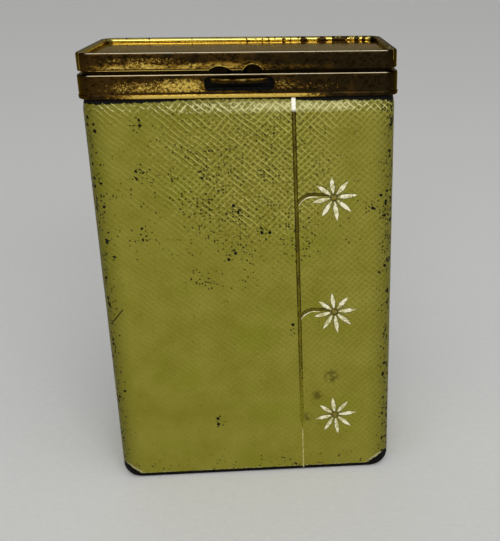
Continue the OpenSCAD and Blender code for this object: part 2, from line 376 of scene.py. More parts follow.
class Paint:
    """A material under way: the place in millimetres, patterns there, and a Principled shader.

    ground is the place, or another vector in millimetres, that noises are laid out on."""

    def __init__(self, name, **constants):
        self.material = bpy.data.materials.new(name)
        self.material.use_nodes = True
        self.tree = self.material.node_tree
        self.tree.nodes.clear()
        self.shader = self.tree.nodes.new("ShaderNodeBsdfPrincipled")
        output = self.tree.nodes.new("ShaderNodeOutputMaterial")
        self.tree.links.new(self.shader.outputs[0], output.inputs["Surface"])
        for socket, value in constants.items():
            self.shader.inputs[socket.replace("_", " ")].default_value = value
        coordinates = self.tree.nodes.new("ShaderNodeTexCoord")
        self.place = self.scaled(coordinates.outputs["Object"], (1 / MM,) * 3)
        self.ground = self.place
        self.x, self.y, self.z = self.split(self.place)

    def node(self, kind, vector):
        """A new node with a vector in its first input."""
        made = self.tree.nodes.new(kind)
        self.tree.links.new(vector, made.inputs[0])
        return made

    def scaled(self, vector, factors):
        """A vector with each of its parts times a factor."""
        made = self.node("ShaderNodeVectorMath", vector)
        made.operation = "MULTIPLY"
        made.inputs[1].default_value = factors
        return made.outputs[0]

    def split(self, vector):
        """A vector's three parts as terms."""
        return [Term(self.tree, socket) for socket in self.node("ShaderNodeSeparateXYZ", vector).outputs]

    def join(self, x, y, z):
        """The vector of three numbers or terms."""
        made = self.tree.nodes.new("ShaderNodeCombineXYZ")
        for value, socket in zip((x, y, z), made.inputs):
            plug(self.tree, value, socket)
        return made.outputs[0]

    def attribute(self, name):
        """What the mesh's vertices carry under a name."""
        made = self.tree.nodes.new("ShaderNodeAttribute")
        made.attribute_name = name
        return made.outputs["Vector"]

    def noise(self, pitch, detail=2, stretch=(1, 1, 1), vector=None, rough=0.5, distortion=0):
        """Noise, 0 to 1, with features about pitch millimetres across and longer where stretch is over 1."""
        factors = tuple(1 / (pitch * s) for s in stretch)
        made = self.node("ShaderNodeTexNoise", self.scaled(vector or self.ground, factors))
        made.inputs["Scale"].default_value = 1
        made.inputs["Detail"].default_value = detail
        made.inputs["Roughness"].default_value = rough
        made.inputs["Distortion"].default_value = distortion
        return Term(self.tree, made.outputs["Fac"])

    def shake(self, reach, pitch):
        """The ground pushed about by up to reach millimetres, to make the edges of a pattern ragged."""
        along = (self.noise(pitch) - 0.5) * (2 * reach)
        up = (self.noise(pitch * 1.3) - 0.5) * (2 * reach)
        made = self.node("ShaderNodeVectorMath", self.ground)
        made.operation = "ADD"
        self.tree.links.new(self.join(along, up, 0), made.inputs[1])
        return made.outputs[0]

    def cells(self, pitch, vector):
        """How far, in pitches, the nearest of points scattered pitch apart is, and that point's number."""
        made = self.node("ShaderNodeTexVoronoi", self.scaled(vector, (1 / pitch,) * 3))
        made.voronoi_dimensions = "2D"
        made.inputs["Scale"].default_value = 1
        return Term(self.tree, made.outputs["Distance"]), self.split(made.outputs["Color"])[0]

    def tint(self, value, socket):
        """Puts a colour, or the output that gives one, into an input."""
        if isinstance(value, tuple):
            socket.default_value = (*value, 1)
        else:
            self.tree.links.new(value, socket)

    def mix(self, first, second, share):
        """A colour share of the way from first to second, each a colour or an output."""
        made = self.tree.nodes.new("ShaderNodeMix")
        made.data_type = "RGBA"
        plug(self.tree, share, made.inputs[0])
        self.tint(first, made.inputs[6])
        self.tint(second, made.inputs[7])
        return made.outputs[2]

    def finish(self, colour, roughness, height):
        """The material with its colour, its roughness and a bump whose height is in millimetres."""
        self.tint(colour, self.shader.inputs["Base Color"])
        plug(self.tree, roughness, self.shader.inputs["Roughness"])
        made = self.tree.nodes.new("ShaderNodeBump")
        made.inputs["Strength"].default_value = 1
        made.inputs["Distance"].default_value = MM
        plug(self.tree, height, made.inputs["Height"])
        self.tree.links.new(made.outputs["Normal"], self.shader.inputs["Normal"])
        return self.material


# ---------- colours and patterns of the materials

OLIVE = srgb(131, 126, 45)
OLIVE_DARK = srgb(114, 108, 25)
OLIVE_GREEN = srgb(114, 117, 18)
# painted highlight on the grain's crests
OLIVE_PALE = srgb(188, 180, 92)
# painted shade for the upright edges
OLIVE_EDGE_SHADE = srgb(84, 80, 18)
# painted sheen for the band under the collar
SHEEN_PALE = srgb(226, 220, 158)
# painted shade in the grain's pits
PIT_SHADE_BROWN = srgb(58, 50, 4)
SMEAR_BROWN = srgb(72, 62, 10)
# darker round the flowers' centres
PETAL_CENTRE_DARK = srgb(84, 78, 34)
PRICK_BLACK = srgb(14, 10, 0)
TORN_CLOTH = srgb(176, 170, 132)
# black for the bare core, and for painted shadow under the collar
CORE_AND_SHADOW_BLACK = srgb(3, 2, 1)
GOLD = (0.72, 0.50, 0.085)
LEMON = (0.50, 0.41, 0.10)
GOLD_PALE = (0.94, 0.87, 0.68)
AMBER = (0.23, 0.12, 0.014)
BROWN = (0.052, 0.027, 0.006)
UMBER = (0.022, 0.014, 0.005)
# painted shade for the neck, which sits in the gap under the lid
NECK_SHADE = (0.010, 0.006, 0.002)
# near black for specks in the tarnish and for painted shadow in the gap
NEAR_BLACK = (0.005, 0.0035, 0.001)

# slope in degrees and pitch of the grain's two families of ridges
RIDGES = (-40, 1.05)
CROSS_RIDGES = (44.5, 1.03)

# wear on the front: clusters of flecks (x, level), smears (x, level, reach, core), a scratch's middle, and
# how far the torn corners reach along and up
FLECKS = [
    (-29.6, 56), (-21.8, 85), (-21.5, 74.9), (-21.2, 61.7), (-9.6, 50.5), (-8.4, 14.5), (-8.1, 74.5),
    (-4, 56.6), (-2.5, 65.7), (3.4, 61), (9.2, 38), (27.2, 66.2), (29.6, 64.8),
]
SMEARS = [(18.2, 25.4, 2.4, 0.8), (14.8, 20.6, 1.8, 0.5), (12.6, 14.8, 1.7, 0.4)]
SCRATCH_X, SCRATCH_Z = -29.5, 42.2
TEAR_LEFT, TEAR_RIGHT, TEAR_H = 5.2, 6.0, 4.2


def ridges(run, level, slope, pitch, wander):
    """Parallel ridges, 0 to 1, at a slope in degrees."""
    turn = math.radians(slope)
    across = level * math.cos(turn) - run * math.sin(turn) + wander
    return maths("COSINE", across * (2 * math.pi / pitch)) * 0.5 + 0.5


def distance(x, z, cx, cz):
    """How far a place on the front is from (cx, cz)."""
    return maths("SQRT", (x - cx) * (x - cx) + (z - cz) * (z - cz))


def dots(paint, pitch, vector, share, growth, largest, soft):
    """Round dots scattered pitch apart, more of them and larger where share is greater."""
    near, own = paint.cells(pitch, vector)
    return ease(near - least((own + share - 1) * growth, largest), *soft)


def clean_spots(paint):
    """Where the bright line along the back of the lid's recess is clean: more broken to the right."""
    return ease(paint.noise(1.6, 3, rough=0.7) - ease(paint.x, -12, 26) * 0.12, 0.34, 0.42)


# ---------- the cover's material


class Leatherette(Paint):
    """The cover's paint, with the noises and distances that its patterns share.

    front is 1 on the front face, off_face the depth behind the front and back faces, and off_arris the
    distance from the upright edges."""

    def __init__(self):
        super().__init__("leatherette", Specular_IOR_Level=0.12)
        self.ground = self.attribute("wrap")
        self.front = ease(self.y, FRONT + 1, FRONT)
        self.off_face = -FRONT - abs(self.y)
        self.off_arris = most(SIDE - abs(self.x), self.off_face)
        self.patchy = self.noise(4.5, 3, rough=0.6)
        self.broken = self.noise(1.1, 3, rough=0.7)
        self.mottle = self.noise(7, 4, rough=0.6)
        self.fine = self.noise(0.35, 2)

    def depth(self):
        """How deep the grain is: most over the upper middle and under the collar, worn flat low down."""
        x, z = self.x, self.z
        middle = ease(distance(most((x - 4) * 1.1, (4 - x) * 0.75), z, 0, 76), 22, 8)
        top = ease(z - abs(x - 6) * 0.12, 80, 87)
        slant = z + x * 0.7
        low_right = ease(slant, 0, 40) * 0.09 + ease(slant, 40, 75) * 0.09
        flank = ease(self.off_face, 1, 4)
        return least(middle * 0.68 + top * 0.5 + low_right + flank * 0.3 + 0.04, 1)

    def grain(self):
        """Two families of fine ridges that cross: crests for painted light, and pits for painted shade."""
        run, level, _ = self.split(self.ground)
        wander = (self.noise(5, 2) - 0.5) * 1.2 + (self.noise(0.9, 2) - 0.5) * 0.3
        first = ridges(run, level, *RIDGES, wander)
        second = ridges(run, level, *CROSS_RIDGES, wander * -0.8)
        beside = ridges(run, level, *RIDGES, wander + 0.3)
        broken, depth = self.broken * 1.4, self.depth()
        one = maths("POWER", first, 9) * ease(broken + self.patchy, 1.0, 1.4)
        two = maths("POWER", second, 9) * ease(broken - self.patchy * 0.8 + self.x * 0.008, 0.12, 0.5) * 0.85
        # painted shadow: a dark line beside each ridge of the first family, added to the pits
        ridge_shadow = maths("POWER", beside, 5) * ease(broken + self.patchy, 0.95, 1.35)
        pit = maths("POWER", (1 - first) * (1 - second), 3) * ease(self.broken, 0.66, 0.44)
        return most(one, two) * depth, least(most(pit, ridge_shadow * 0.6) * depth * 1.1, 1)

    def coat(self, ridge, pit):
        """Coat colour: greener in places, painted shade at upright edges, painted sheen under the collar."""
        mottle, fine = self.mottle, self.fine
        tone = self.mix(OLIVE_DARK, OLIVE, ease(mottle * 0.6 + fine * 0.4, 0.25, 0.72))
        tone = self.mix(tone, OLIVE_GREEN, ease(self.noise(11, 3), 0.5, 0.75) * 0.5)
        # painted shade: darker towards the upright edges, where the wrap turns away from the light
        tone = self.mix(tone, OLIVE_EDGE_SHADE, ease(self.off_arris - mottle * 2, 4.5, -0.6) * 0.65)
        # painted highlight on the grain's crests
        tone = self.mix(tone, OLIVE_PALE, least(ridge * ease(fine + mottle * 0.6, 0.35, 0.9) * 1.1, 1))
        # painted shade in the pits and beside the ridges
        tone = self.mix(tone, PIT_SHADE_BROWN, pit * 0.85)
        # painted sheen: a pale band where the wrap curves in under the collar and faces the light above,
        # broken up along the ridges
        band = between(self.z, COLLAR_BOTTOM - 2.3, COLLAR_BOTTOM - 1.5, 1.1) * self.front
        worn = ridge * 0.8 + fine * 0.6 + self.broken * 0.7
        worn = worn + ease(self.x, -30, 8) * 0.3 - ease(self.x, 20, 30) * 0.35
        return self.mix(tone, SHEEN_PALE, band * ease(worn, 0.72, 1.3) * 0.75)

    def flecks(self):
        """Dark pin-pricks, and larger chips in the coat, both thickest at the edges."""
        x, z = self.x, self.z
        near_edge = ease(self.off_arris, 4.5, 0.6)
        cloud = ease(self.noise(9, 3, rough=0.6), 0.42, 0.66)
        centre = ease(distance(x * 0.8, z, -1, 70), 30, 6) * self.front
        cluster = 0
        for spot in FLECKS:
            cluster = most(cluster, ease(distance(x, z, *spot), 2.4, 0.4))
        cluster = cluster * self.front
        shaken = self.shake(0.4, 0.25)
        share = centre * (cloud * 0.3 + 0.1) + near_edge * 0.26 + cluster * 0.45 + ease(z, 8, 1.5) * 0.14
        pricks = dots(self, 0.62, shaken, share + 0.06, 2, 0.3, (0.06, -0.04))
        share = near_edge * (cloud * 0.5 + 0.16) + cluster * 0.6 + centre * 0.08 + ease(z, 6, 1) * 0.16
        chips = dots(self, 1.5, shaken, share + 0.015, 1.6, 0.24, (0.03, -0.02))
        return pricks, chips

    def tear(self, rag):
        """How near a place is to the torn lower corners: 1 along the tear and less inside it."""
        up = (self.z - COVER_BOTTOM) * (1 / TEAR_H)
        left = most(self.x + SIDE, self.off_face) * (1 / TEAR_LEFT) + up + rag * 0.2
        right = most(SIDE - self.x, self.off_face) * (1 / TEAR_RIGHT) + up + rag * 0.16
        return least(left, right)

    def arris(self):
        """Bare stretches along the upright edges."""
        stretches = ease(self.noise(1.4, 3, (1, 1, 1.8), self.place, rough=0.7), 0.60, 0.64)
        return stretches * between(self.off_arris, 0.2, 1.3, 0.6)

    def scratch(self):
        """One slanting scratch near the left edge."""
        x, z = self.x - SCRATCH_X, self.z - SCRATCH_Z
        along = x * 0.64 + z * 0.77
        aside = abs(x * 0.77 - z * 0.64)
        return between(along, -2.4, 2.4, 0.4) * ease(aside + self.fine * 0.2, 0.3, 0.15) * self.front

    def bare_and_shadow(self):
        """Torn or worn to the black, black at the foot, painted shadow under the collar, pale cloth edging
        tears.
        """
        rag = (self.noise(1.3, 3, rough=0.65) - 0.5) * 2
        tear = self.tear(rag)
        foot = self.z + rag * 0.2 - COVER_BOTTOM
        torn = between(tear, 1.04, 1.12, 0.04) * ease(abs(self.x), SIDE - 6, SIDE - 4)
        torn = most(torn, between(foot, 0.6, 0.7, 0.06) * ease(self.broken, 0.5, 0.58))
        # painted shadow: a ragged black band just under the collar, wider towards the sides
        rim = self.z + rag * 0.7 + ease(abs(self.x + 2), 4, 20) * 0.6 - COLLAR_BOTTOM
        bare_and_shadow = ease(tear, 1.04, 0.97) + ease(rim, -0.42, -0.22) + ease(foot, 0.6, 0.45)
        return bare_and_shadow + self.arris() + self.scratch(), torn * self.front

    def smears(self):
        """Brown where the lowest flower's stalk has rubbed away."""
        smear = 0
        for x, z, reach, core in SMEARS:
            smear = ease(distance(self.x, self.z, x, z), reach, core) + smear
        return least(smear, 1) * ease(self.noise(0.9, 3, vector=self.place), 0.36, 0.56) * self.front

    def centre_darkening(self):
        """Darker round the flowers' centres, between the petals."""
        darkening = 0
        for level in FLOWER_LEVELS:
            darkening = most(darkening, ease(distance(self.x, self.z, FLOWER_X, level), 2.9, 1.0))
        return darkening * self.front * ease(self.fine + self.broken, 0.75, 1.1)


def leatherette():
    """Olive cross-grain leatherette: painted light on ridges, painted shade in pits, chipped to the black
    beneath.
    """
    paint = Leatherette()
    ridge, pit = paint.grain()
    pricks, chips = paint.flecks()
    bare_and_shadow, torn = paint.bare_and_shadow()
    bare_and_shadow = least(bare_and_shadow + chips, 1)
    tone = paint.coat(ridge, pit)
    tone = paint.mix(tone, SMEAR_BROWN, paint.smears() * 0.75)
    tone = paint.mix(tone, PETAL_CENTRE_DARK, paint.centre_darkening() * 0.7)
    tone = paint.mix(tone, PRICK_BLACK, pricks * 0.95)
    tone = paint.mix(tone, TORN_CLOTH, torn * 0.6)
    rough = 0.42 - ridge * 0.14 + (paint.mottle - 0.5) * 0.14 + bare_and_shadow * 0.25
    raised = ridge * 0.07 + paint.fine * 0.012 + paint.mottle * 0.02
    # black where the coat is bare, and painted shadow under the collar
    return paint.finish(paint.mix(tone, CORE_AND_SHADOW_BLACK, bare_and_shadow), rough, raised - pit * 0.05 - pricks * 0.03 - bare_and_shadow * 0.05)


# ---------- the brasses


class Brass(Paint):
    """A brass paint, with the noises that its patterns share.

    outside is how far a place is beyond the collar's walls, and outer is 1 near their surface."""

    def __init__(self, name):
        super().__init__(name, Metallic=1.0, Specular_Tint=(0.8, 0.66, 0.4, 1))
        self.broad = self.noise(7, 4, stretch=(2.4, 1.2, 0.6), rough=0.62)
        self.fine = self.noise(0.42, 4, stretch=(1.3, 1.3, 1), rough=0.72)
        self.streaky = self.noise(1.1, 3, stretch=(2.2, 1, 0.7), rough=0.6)
        self.speck = self.noise(0.25, 2)
        self.outside = most(abs(self.x) - HALF_W, abs(self.y) - HALF_D)
        self.outer = ease(self.outside, -0.62, -0.38)

    def patch(self, x, z, half_l, half_h, strength):
        """How far the tarnish is rubbed off round a place on the front face, up to strength."""
        along = (self.x - x) * (1 / half_l)
        up = (self.z - z) * (1 / half_h)
        away = maths("SQRT", along * along + up * up)
        return ease(away, 1.6, 0.2) * ease(self.y, -HALF_D + 1.2, -HALF_D + 0.9) * strength

    def tarnish(self, amount, patches, glows, crease_shades):
        """How tarnished a place is, for the metal's overall amount and the places listed."""
        fine, streaky = self.fine, self.streaky
        dull = ease(self.broad + (fine - 0.5) * 0.25, 0.6 - amount, 1.0 - amount)
        rubbed = self.broad * 0.12
        for place in patches:
            rubbed = most(rubbed, self.patch(*place))
        warm = least(rubbed * ease(streaky + fine * 0.3, 0.35, 0.75) * 1.2, 1)
        dull = dull * (1 - warm * 0.5)
        for place in glows:
            dull = dull * (1 - self.patch(*place) * ease(streaky, 0.2, 0.6))
        cracks = ease(abs(self.noise(0.9, 3, rough=0.7) - 0.5), 0.035, 0.012)
        flakes = ease(fine + rubbed * 0.44 - cracks * 0.4, 0.62, 0.9)
        dull = dull * (1 - flakes)
        # painted shade along the crease lines listed
        for level, reach in crease_shades:
            aside = abs(self.z - level) + (streaky - 0.5) * 0.2
            dull = most(dull, ease(aside, reach, reach * 0.4) * self.outer)
        return dull

    def bright_edges(self, rims, arcs):
        """Edges listed rubbed bright, carrying painted highlight; how pale the metal is there and in odd
        specks.
        """
        x, z, fine = self.x, self.z, self.fine
        shine, pale = 0, 0
        # rubbed edges with painted highlight, pale where paleness says
        for level, reach, middle, half_l, paleness in rims:
            ends = abs(x - middle) + (fine - 0.5) * 20
            band = ease(abs(z - level), reach, reach * 0.5) * ease(ends, half_l, half_l - 10)
            band = band * self.outer * ease(fine + self.speck * 0.5, 0.3, 0.7)
            shine = most(band, shine)
            pale = most(band * paleness, pale)
        for arc_x, level, radius in arcs:
            edge = ease(abs(distance(x, z, arc_x, level) - radius - 0.05), 0.2, 0.04) * ease(self.y, 0, -1)
            edge = edge * ease(z, LID_BOTTOM + 1.9, LID_BOTTOM + 1.5) * ease(fine, 0.35, 0.6)
            shine = most(edge * 0.8, shine)
        specks = ease(self.speck + (fine - 0.5) * 0.6, 0.45, 0.8)
        return shine, most(specks * 0.14, pale)


def brass(
    name, amount, rims=(), patches=(), glows=(), crease_shades=(), arcs=(), recess=False, gold=GOLD, darkest=UMBER,
    darkening=0,
):
    """Old brass, gold where rubbed, tarnished amber and brown as far as amount says; partly painted dark
    reflection.

    rims lists (level, reach, middle x, half length, paleness) edges rubbed bright that carry painted
    highlight, pale as paleness says. patches and glows list (x, level, half length, half height, strength)
    places on the front where gold shows in flakes or softly, the crease list (level, reach) lines of painted
    shade, and arcs (x, level, radius) bright notch edges. recess keeps the lid's recess bright. gold is the
    cleanest colour and the next argument the darkest, which for the neck is painted shade. The last argument,
    a number or a function of the paint, is painted shadow that blackens the metal, as in the narrow gap
    between collar and lid."""
    paint = Brass(name)
    dull = paint.tarnish(amount, patches, glows, crease_shades)
    clean = gold
    if recess:
        inside = ease(paint.outside, -1.0, -1.2)
        dull = dull * (1 - inside * clean_spots(paint))
        clean = paint.mix(gold, LEMON, inside)
    shine, pale = paint.bright_edges(rims, arcs)
    dull = dull * (1 - shine)
    # the darkest tone: tarnish, and for the neck painted shade
    stained_or_shaded = paint.mix(BROWN, darkest, ease(paint.noise(4, 3, rough=0.6) + paint.x * 0.005, 0.35, 0.6))
    tone = paint.mix(paint.mix(clean, GOLD_PALE, pale), AMBER, ease(dull, 0, 0.5))
    tone = paint.mix(tone, stained_or_shaded, ease(dull, 0.35, 0.8))
    pepper = ease(paint.noise(0.6, 3, stretch=(1.3, 1.3, 0.9), rough=0.75), 0.49, 0.39) * paint.outer
    tone = paint.mix(tone, NEAR_BLACK, pepper * (1 - shine) * 0.85)
    # painted shadow where the metal lies in the gap between collar and lid
    tone = paint.mix(tone, NEAR_BLACK, darkening(paint) if callable(darkening) else darkening)
    relief = paint.fine * 0.006 + paint.speck * 0.003 + paint.broad * 0.03
    return paint.finish(tone, dull * 0.14 + paint.fine * 0.12 + 0.1, relief)


def polished():
    """The polished panel: brown-gold, with fine scratches, dull clouds and a clean line along the back."""
    paint = Paint("polished_brass", Metallic=1.0, Specular_Tint=(0.66, 0.46, 0.08, 1))
    cloud = ease(paint.noise(8, 3, rough=0.6), 0.42, 0.7)
    scratches = ease(paint.noise(0.18, 2, stretch=(14, 1, 1), distortion=0.4), 0.62, 0.72)
    clean = ease(paint.y + paint.noise(2, 3), HALF_D - 4.6, HALF_D - 3.4) * clean_spots(paint)
    tone = paint.mix((0.56, 0.40, 0.065), (0.38, 0.26, 0.04), cloud)
    tone = paint.mix(tone, (0.95, 0.78, 0.22), clean * 0.9)
    tone = paint.mix(tone, GOLD_PALE, scratches * 0.1)
    rough = (cloud * 0.1 + scratches * 0.12) * (1 - clean * 0.7) + 0.07
    return paint.finish(tone, rough, paint.noise(5, 2) * 0.01 + scratches * 0.001)


# ---------- the other materials


def lacquer():
    """Black lacquer over steel, dusty and rubbed through at the rims."""
    paint = Paint("black_lacquer", Specular_IOR_Level=0.06)
    dust = paint.noise(0.8, 3)
    worn = ease(paint.noise(2.2, 3, rough=0.7), 0.66, 0.7)
    tone = paint.mix(srgb(5, 4, 3), srgb(24, 20, 15), ease(dust, 0.5, 0.85) * 0.4)
    tone = paint.mix(tone, srgb(60, 52, 40), worn * 0.3)
    return paint.finish(tone, dust * 0.25 + 0.35, dust * 0.01 - worn * 0.02)


def flock():
    """Short brown-grey flock on card."""
    paint = Paint("lining_flock", Sheen_Weight=0.4, Sheen_Roughness=0.4, Specular_IOR_Level=0.1)
    nap = paint.noise(0.12, 3, rough=0.7)
    worn = paint.noise(7, 3)
    tone = paint.mix(srgb(104, 92, 66), srgb(146, 131, 98), ease(nap * 0.6 + worn * 0.5, 0.35, 0.8))
    return paint.finish(tone, nap * 0.1 + 0.85, nap * 0.06 + worn * 0.05)


def steel(name, shade):
    """Strip steel with fine lines along it and a little rust bloom; a low shade darkens it as painted shade.
    """
    paint = Paint(name, Metallic=1.0)
    lines = paint.noise(0.1, 2, stretch=(30, 1, 1))
    bloom = ease(paint.noise(1.4, 3, rough=0.7), 0.6, 0.74)
    tone = paint.mix((0.50 * shade,) * 3, (0.66 * shade,) * 3, lines)
    tone = paint.mix(tone, (0.20 * shade, 0.10 * shade, 0.05 * shade), bloom * 0.5)
    return paint.finish(tone, lines * 0.12 + bloom * 0.3 + 0.22, lines * 0.003 + bloom * 0.006)


def stem_paint():
    """Gold foil worn brown, dark on both edges, pale at its rubbed foot, painted highlight under the collar.
    """
    paint = Paint("gold_foil", Metallic=0.15, Specular_IOR_Level=0.1)
    z = paint.z
    across = paint.split(paint.attribute("across"))[0]
    chip = paint.noise(0.4, 3, rough=0.7)
    edge = across + (paint.noise(0.55, 2, rough=0.6) - 0.5) * 1.6
    dark = ease(edge, 0.38, 0.72) * 0.92 + ease(chip, 0.56, 0.62) * 0.75
    gone = ease(chip + ease(z, 34, 14) * 0.2, 0.56, 0.62) * ease(z, 50, 24)
    tone = paint.mix(srgb(102, 91, 14), srgb(80, 69, 6), ease(paint.noise(3.5, 2), 0.35, 0.65))
    tone = paint.mix(tone, srgb(30, 23, 0), least(dark, 1))
    tone = paint.mix(tone, OLIVE_DARK, gone)
    tone = paint.mix(tone, srgb(196, 188, 122), ease(z, 12.5, 10.5) * ease(chip, 0.62, 0.5) * 0.8)
    # painted highlight: near white where the stem curves in under the collar
    tone = paint.mix(tone, (0.95, 0.92, 0.78), ease(z, COLLAR_BOTTOM - 3.2, COLLAR_BOTTOM - 2.4))
    return paint.finish(tone, chip * 0.25 + 0.3, chip * 0.02)


def petal_paint():
    """Pale silver foil in soft patches, with rubbed specks and dark edges."""
    paint = Paint("silver_foil", Metallic=0.25)
    rub = paint.noise(0.45, 3, rough=0.65)
    across = paint.split(paint.attribute("across"))[0]
    tone = paint.mix(srgb(240, 235, 200), srgb(192, 185, 126), ease(paint.noise(1.2, 2), 0.42, 0.6))
    tone = paint.mix(tone, srgb(110, 102, 50), ease(rub, 0.6, 0.66) * 0.8)
    tone = paint.mix(tone, srgb(74, 66, 22), ease(across + (rub - 0.5) * 0.6, 0.62, 0.92))
    return paint.finish(tone, rub * 0.2 + 0.3, rub * 0.015)


def centre_paint():
    """Gold foil flower centres, dotted and rubbed olive, with a dark line round each."""
    paint = Paint("centre_foil", Metallic=0.15, Specular_IOR_Level=0.2)
    rub = paint.noise(0.3, 3, rough=0.65)
    across = paint.split(paint.attribute("across"))[0]
    tone = paint.mix(srgb(134, 122, 50), srgb(88, 79, 24), ease(rub, 0.45, 0.6))
    tone = paint.mix(tone, srgb(44, 36, 8), ease(across + (rub - 0.5) * 0.7, 0.55, 0.78))
    return paint.finish(tone, rub * 0.2 + 0.4, rub * 0.03)


LEATHERETTE = leatherette()
LACQUER = lacquer()
FLOCK = flock()
STEEL = steel("spring_steel", 1.0)
# painted shade: the keeper and hook sit in the gap under the lid and are made near black
SHADED_STEEL = steel("shaded_steel", 0.05)
POLISHED = polished()
COLLAR_BRASS = brass(
    "collar_brass",
    0.56,
    # rubbed edges with painted highlight, whitish on the top edge
    rims=[(COLLAR_BOTTOM + 0.4, 0.5, -4, 25, 0.02), (COLLAR_TOP - 0.1, 0.11, 0, 60, 0.75)],
    patches=[
        (-20, 92.4, 8, 1.6, 0.6), (-11.5, 92.7, 6, 1.9, 0.9),
        (9, 92.8, 3.4, 1.6, 0.5), (15, 92.4, 7, 0.9, 0.35),
    ],
    glows=[(-12, 92.2, 6, 1.4, 0.3), (-2, 91.4, 8, 0.5, 0.4)],
    # painted shade above the bead and under the top edge
    crease_shades=[(COLLAR_BOTTOM + 1.05, 0.34), (COLLAR_TOP - 0.55, 0.36)],
    # painted shadow: black on the collar's top shelf in the gap under the lid
    darkening=lambda paint: ease(paint.outside, -0.14, -0.3) * ease(paint.z, COLLAR_TOP - 0.3, COLLAR_TOP - 0.1),
)
LID_BRASS = brass(
    "lid_brass",
    0.56,
    # rubbed edges with painted highlight, whitish along the top edge
    rims=[(LID_TOP - 0.1, 0.12, 0, 60, 0.9), (LID_BOTTOM + 0.1, 0.14, -12, 22, 0.1)],
    patches=[(-20, 96.3, 9, 1.2, 0.6), (-8, 96.3, 7, 1.2, 0.5), (-19, 97.7, 9, 0.8, 0.55)],
    glows=[(-17, 96.25, 14, 1, 0.7), (-0.6, 96.5, 7, 1.3, 0.6), (14, 96.3, 9, 0.8, 0.25)],
    # painted shade below the top edge and above the lower edge
    crease_shades=[(LID_TOP - 0.75, 0.4), (LID_BOTTOM + 0.32, 0.16)],
    arcs=[(LATCH_X + place, LID_BOTTOM + height - radius, radius) for place, height, radius in NOTCHES],
    recess=True,
    # painted shadow: black along the skirt's underside
    darkening=lambda paint: ease(paint.z, LID_BOTTOM + 0.1, LID_BOTTOM + 0.02),
)
PLAIN_BRASS = brass("plain_brass", 0.4)
DARK_BRASS = brass("dark_brass", 0.75)
# painted shade: the neck sits in the gap and is made near black
NECK_BRASS = brass("neck_brass", 0.95, darkest=NECK_SHADE, darkening=0.8)
TAB_BRASS = brass("tab_brass", 0.6, glows=[(LATCH_X, TAB_HIGH.z / MM, 8, 0.45, 0.8)], gold=(0.40, 0.33, 0.11))


# ---------- the case


def wall_inset(level):
    """The cover's outer inset, which tucks in under the collar."""
    rise = (level - (COLLAR_BOTTOM - TUCK_H)) / TUCK_H
    return COVER_INSET + TUCK_IN * min(max(rise, 0), 1) ** 2


def cover_point(station, inset, level):
    """A point of the cover, with the slight unevenness of a glued wrap on its outer face."""
    point = on_box(station, inset, level)
    if inset > COVER_INSET + TUCK_IN + 0.05:
        return point
    uneven = 0.03 * noise.noise(point / 9) + 0.012 * noise.noise(point / 2.3)
    return point + outward(station) * uneven


def metal_point(station, inset, level):
    """A point of thin rolled brass, which is never quite flat."""
    point = on_plan(station, inset, level)
    uneven = 0.022 * noise.noise(point / 7) + 0.008 * noise.noise(point / 1.7)
    return point + outward(station) * uneven


def make_cover():
    """The wrap: one sheet round the box, whose ends meet in a fine seam at the middle of the back."""
    foot = COVER_BOTTOM + 0.02
    top = COVER_TOP - 0.1
    rows = spread(foot, foot + 0.98, 7)
    rows += spread(rows[-1], rows[-1] + 2.45, 7)[1:]
    rows += spread(rows[-1], top, 118)[1:]
    seam, turned_in, gap = 0.35, 0.16, 0.02
    path = plan_path(0.6, 12)
    path[0] = (-gap, *path[0][1:])
    path[-1] = (gap, *path[-1][1:])

    def section(station):
        x, y, turn = station
        at_back = y > 0 and math.sin(turn) > 0.99
        turned = max(0, 1 - abs(x) / seam) if at_back else 0
        outer = [(wall_inset(level) + turned_in * turned**2, level) for level in rows]
        return outer + [(CORE_INSET - 0.02, level) for level in (top, 50, foot)]

    mesh = sweep("cover", path, section, cover_point, ring=False)
    cover = new_piece("cover", mesh, LEATHERETTE, "case", ["cover_wrap"])
    low = (LATCH_X - SLOT_W / 2 - 0.5, -HALF_D - 1, SLOT_BOTTOM + 0.7)
    high = (LATCH_X + SLOT_W / 2 + 0.5, -HALF_D + CORE_INSET + 0.3, COLLAR_TOP)
    cut(cover, [block(low, high)], 0.05)


def make_base():
    """The lacquered plate under the box, with softened rims."""
    edge, top = 0.09, COVER_BOTTOM
    rows = [(COVER_INSET + edge, 0), (COVER_INSET + edge * 0.3, edge * 0.3)]
    rows += [(COVER_INSET, level) for level in (edge, 0.25, 0.4, 0.55)]
    rows += [(COVER_INSET + edge * 0.3, top - edge * 0.3), (COVER_INSET + edge, top)]
    mesh = slab("base", plan_path(2, 12), rows, on_box)
    new_piece("base", mesh, LACQUER, "case", ["base_plate"])


def make_collar():
    """The brass band: rounded and turned in at the top, beaded at the bottom, with the catch's slot."""
    low, high = COLLAR_BOTTOM, COLLAR_TOP
    bead = [(0.46, low, 0.1), (-0.12, low, 0.3), (-0.12, low + 0.8, 0.3), (0.05, low + 0.98, 0.1)]
    wall = [(0, low + 1.2, 0.2), (0, (low + high) / 2 + 0.5, 0), (0, high, 0.34)]
    ledge = [(1.0, high, 0.06), (1.0, high - BRASS_T, 0.03), (0.5, high - BRASS_T, 0.08)]
    section = fillet(bead + wall + ledge)
    mesh = sweep("brass_collar", plan_path(0.8, 14), section, metal_point)
    collar = new_piece("brass_collar", mesh, COLLAR_BRASS, "case", ["collar"])
    slot_low = (LATCH_X - SLOT_W / 2, -HALF_D - 1, SLOT_BOTTOM)
    slot_high = (LATCH_X + SLOT_W / 2, -HALF_D + BRASS_T + 0.2, SLOT_TOP)
    cut(collar, [block(slot_low, slot_high, SLOT_R)], 0.12)


